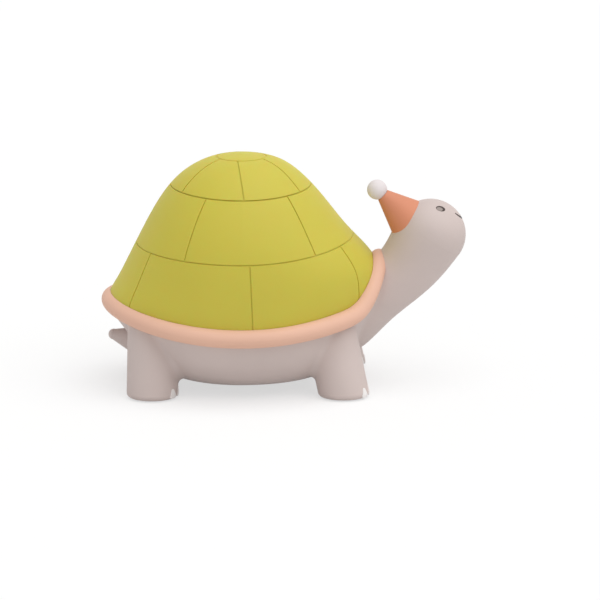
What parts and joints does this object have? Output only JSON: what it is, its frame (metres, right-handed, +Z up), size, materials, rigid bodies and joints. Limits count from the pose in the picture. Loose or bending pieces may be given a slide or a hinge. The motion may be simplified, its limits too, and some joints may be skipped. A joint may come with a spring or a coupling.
{
  "type": "night_light",
  "caption": "Rechargeable tortoise night light: domed shade with plate lines, pink rim, grey hollow body, party hat, belly push button and charging socket with a lid.",
  "frame": {"origin": "On the floor under the middle of the overall length and width", "axes": "+X to the head, +Y to the animal's left, +Z up"},
  "size_m": [0.1817, 0.1162, 0.1167],
  "materials": {
    "casing": "matt moulded plastic, warm grey",
    "shade": "matt translucent moulded plastic, yellow-green",
    "rim": "matt moulded plastic, salmon pink",
    "hat": "matt moulded plastic, orange",
    "pompom": "matt white",
    "nails": "painted white",
    "pads": "soft rubber",
    "screws": "zinc plated",
    "button": "matt white",
    "black_plastic": "moulded black",
    "white_plastic": "moulded white",
    "board": "green circuit board",
    "light_board": "white circuit board",
    "emitters": "phosphor yellow",
    "diffuser": "milky plastic",
    "socket": "plated shell",
    "clips": "spring steel",
    "cell": "shrink sleeve, blue",
    "leads": "red insulation"
  },
  "bodies": {
    "lamp": {"body_casing": "casing", "shell_dome": "shade", "shell_rim": "rim", "hat_cone": "hat", "hat_pompom": "pompom", "toe_nails_front_left": "nails", "toe_nails_front_right": "nails", "toe_nails_back_left": "nails", "toe_nails_back_right": "nails", "foot_pad_front_left": "pads", "foot_pad_front_right": "pads", "foot_pad_back_left": "pads", "foot_pad_back_right": "pads", "base_cover": "casing", "base_screws": "screws", "button_switch": "black_plastic", "control_board": "board", "board_screws": "screws", "usb_socket": "socket", "door_pin": "screws", "light_frame": "white_plastic", "frame_screws": "screws", "led_board": "light_board", "led_board_screws": "screws", "led_emitters": "emitters", "diffuser_cap": "diffuser", "battery_cell": "cell", "battery_clips": "clips", "battery_plug": "white_plastic", "battery_leads": "leads", "led_leads": "leads"},
    "button": {"power_button": "button", "switch_plunger": "button"},
    "door": {"charge_door": "casing"}
  },
  "joints": [
    {"name": "button_press", "type": "slide", "parent": "lamp", "child": "button", "axis": [0, 0, 1], "range_m": [0, 0.0008], "stiffness_N_per_m": 400},
    {"name": "door_hinge", "type": "hinge", "parent": "lamp", "child": "door", "pos_m": [-0.0711, 0, 0.0092], "axis": [0, -1, 0], "range_deg": [0, 100]}
  ]
}
